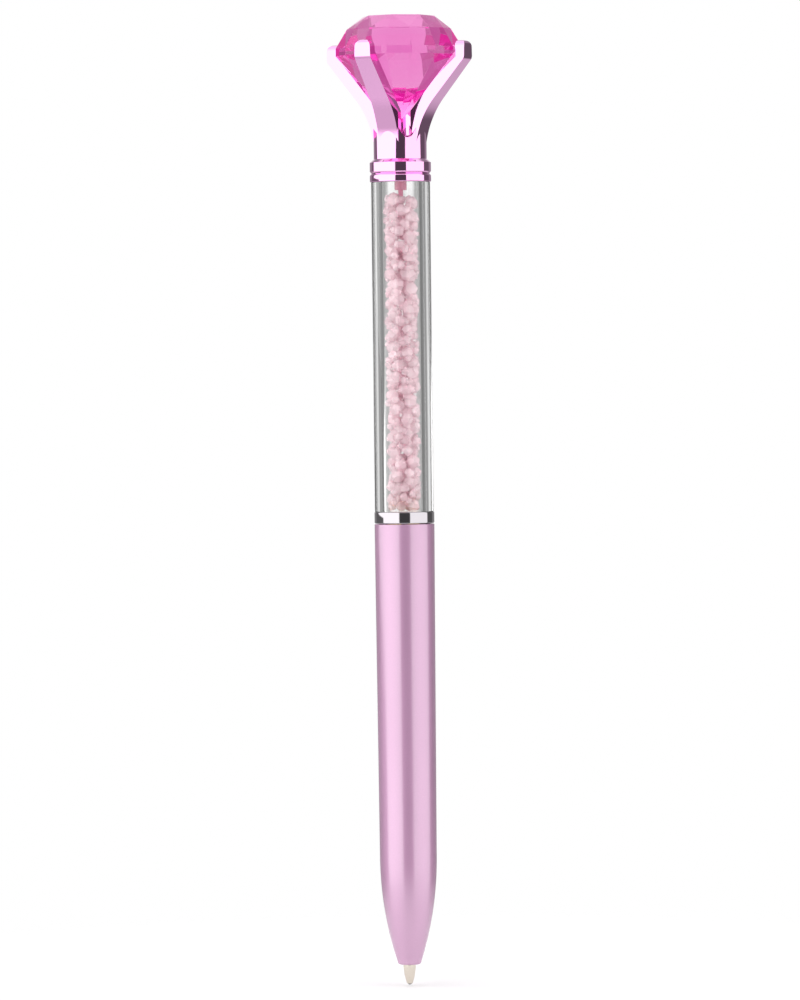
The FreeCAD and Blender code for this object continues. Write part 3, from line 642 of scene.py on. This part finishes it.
# bearing in degrees where the brightness changes, half-width of the change, brightness after it
SKY = [
    (-165, 4, 0.4),
    (-137, 3, 0.22),
    (LEFT_BOX_EDGE, 3, 2.4),
    (-20, 1.5, 0.1),
    (22, 1.5, 2.0),
    (99, 1.5, 0.17),
    (135, 3, 0.4),
    (165, 4, 1.0),
]
CAMERA_LENS = 206
CAMERA_AIM = (-0.62, 0, 71.2)
CAMERA_DISTANCE = 839
CAMERA_RISE = 1.2
CAMERA_LEAN = -0.67


def make_floor():
    """Pale disc under the pen that fades out at its rim."""
    work = bmesh.new()
    bmesh.ops.create_circle(work, cap_ends=True, segments=96, radius=FLOOR_RADIUS)
    mesh = bpy.data.meshes.new("floor")
    work.to_mesh(mesh)
    work.free()
    floor = bpy.data.objects.new("floor", mesh)
    bpy.context.collection.objects.link(floor)
    made, tree, output = new_material("pale_floor_card")
    place = add(tree, "ShaderNodeTexCoord")
    reach = add(tree, "ShaderNodeVectorMath", {0: place.outputs["Object"]}, operation="LENGTH")
    fade = add(tree, "ShaderNodeMapRange",
               {"Value": reach.outputs["Value"], "From Min": FLOOR_FADE[0],
                "From Max": FLOOR_FADE[1]},
               interpolation_type="SMOOTHSTEP")
    card = add(tree, "ShaderNodeBsdfDiffuse", {"Color": colour("#fbfafb")})
    clear = add(tree, "ShaderNodeBsdfTransparent")
    mix = add(tree, "ShaderNodeMixShader",
              {"Fac": fade.outputs["Result"], 1: card.outputs[0], 2: clear.outputs[0]})
    tree.links.new(mix.outputs[0], output.inputs["Surface"])
    mesh.materials.append(made)
    floor.location = (0, 0, -0.0002)


def make_studio():
    """White for the camera. The rest sees two tall soft boxes with a dark gap between them."""
    world = bpy.data.worlds.new("studio")
    bpy.context.scene.world = world
    world.use_nodes = True
    tree = world.node_tree
    tree.nodes.clear()
    place = add(tree, "ShaderNodeTexCoord")
    split = add(tree, "ShaderNodeSeparateXYZ", {"Vector": place.outputs["Generated"]})
    forward = add(tree, "ShaderNodeMath", {0: split.outputs["Y"], 1: -1.0}, operation="MULTIPLY")
    turn = add(tree, "ShaderNodeMath", {0: split.outputs["X"], 1: forward.outputs[0]},
               operation="ARCTAN2")
    degrees = add(tree, "ShaderNodeMath", {0: turn.outputs[0]}, operation="DEGREES")
    # the left box reaches further round higher up
    tilt = add(tree, "ShaderNodeMapRange",
               {"Value": split.outputs["Z"], "From Min": -0.02, "From Max": 0.035,
                "To Min": 0.0, "To Max": 30.0})
    leaning = add(tree, "ShaderNodeMath", {0: degrees.outputs[0], 1: tilt.outputs["Result"]})
    level = 1.0
    for bearing, half, after in SKY:
        facing = leaning if bearing == LEFT_BOX_EDGE else degrees
        edge = add(tree, "ShaderNodeMapRange",
                   {"Value": facing.outputs[0], "From Min": bearing - half,
                    "From Max": bearing + half}, interpolation_type="SMOOTHSTEP")
        change = add(tree, "ShaderNodeMix",
                     {"Factor": edge.outputs["Result"], "A": level, "B": after},
                     data_type="FLOAT")
        level = change.outputs["Result"]
    height = add(tree, "ShaderNodeMapRange",
                 {"Value": split.outputs["Z"], "From Min": 0.6, "From Max": 0.8},
                 interpolation_type="SMOOTHSTEP")
    roof = add(tree, "ShaderNodeMix",
               {"Factor": height.outputs["Result"], "A": level, "B": ROOF_LIGHT},
               data_type="FLOAT")
    depth = add(tree, "ShaderNodeMapRange",
                {"Value": split.outputs["Z"], "From Min": -0.3, "From Max": -0.5},
                interpolation_type="SMOOTHSTEP")
    ground = add(tree, "ShaderNodeMix",
                 {"Factor": depth.outputs["Result"], "A": roof.outputs["Result"], "B": GROUND_LIGHT},
                 data_type="FLOAT")
    light = add(tree, "ShaderNodeBackground", {"Strength": ground.outputs["Result"]})
    white = add(tree, "ShaderNodeBackground", {"Color": colour("#ffffff"), "Strength": 1.0})
    path = add(tree, "ShaderNodeLightPath")
    mix = add(tree, "ShaderNodeMixShader",
              {"Fac": path.outputs["Is Camera Ray"], 1: light.outputs[0], 2: white.outputs[0]})
    add(tree, "ShaderNodeOutputWorld", {"Surface": mix.outputs[0]})


def make_camera():
    """Long lens a little above the pen's middle, leaning with it."""
    data = bpy.data.cameras.new("camera")
    data.lens = CAMERA_LENS
    data.sensor_width = 36
    camera = bpy.data.objects.new("camera", data)
    bpy.context.collection.objects.link(camera)
    aim = Vector(CAMERA_AIM) * MM
    rise = math.radians(CAMERA_RISE)
    turned_up = Euler((math.pi / 2 - rise, 0, 0)).to_matrix().to_4x4()
    lean = Matrix.Rotation(math.radians(CAMERA_LEAN), 4, "Z")
    camera.matrix_world = (Matrix.Translation(aim) @ turned_up @ lean
                           @ Matrix.Translation((0, 0, CAMERA_DISTANCE * MM)))
    bpy.context.scene.camera = camera


make_floor()
make_studio()
make_camera()
bpy.context.scene.view_settings.view_transform = "Standard"
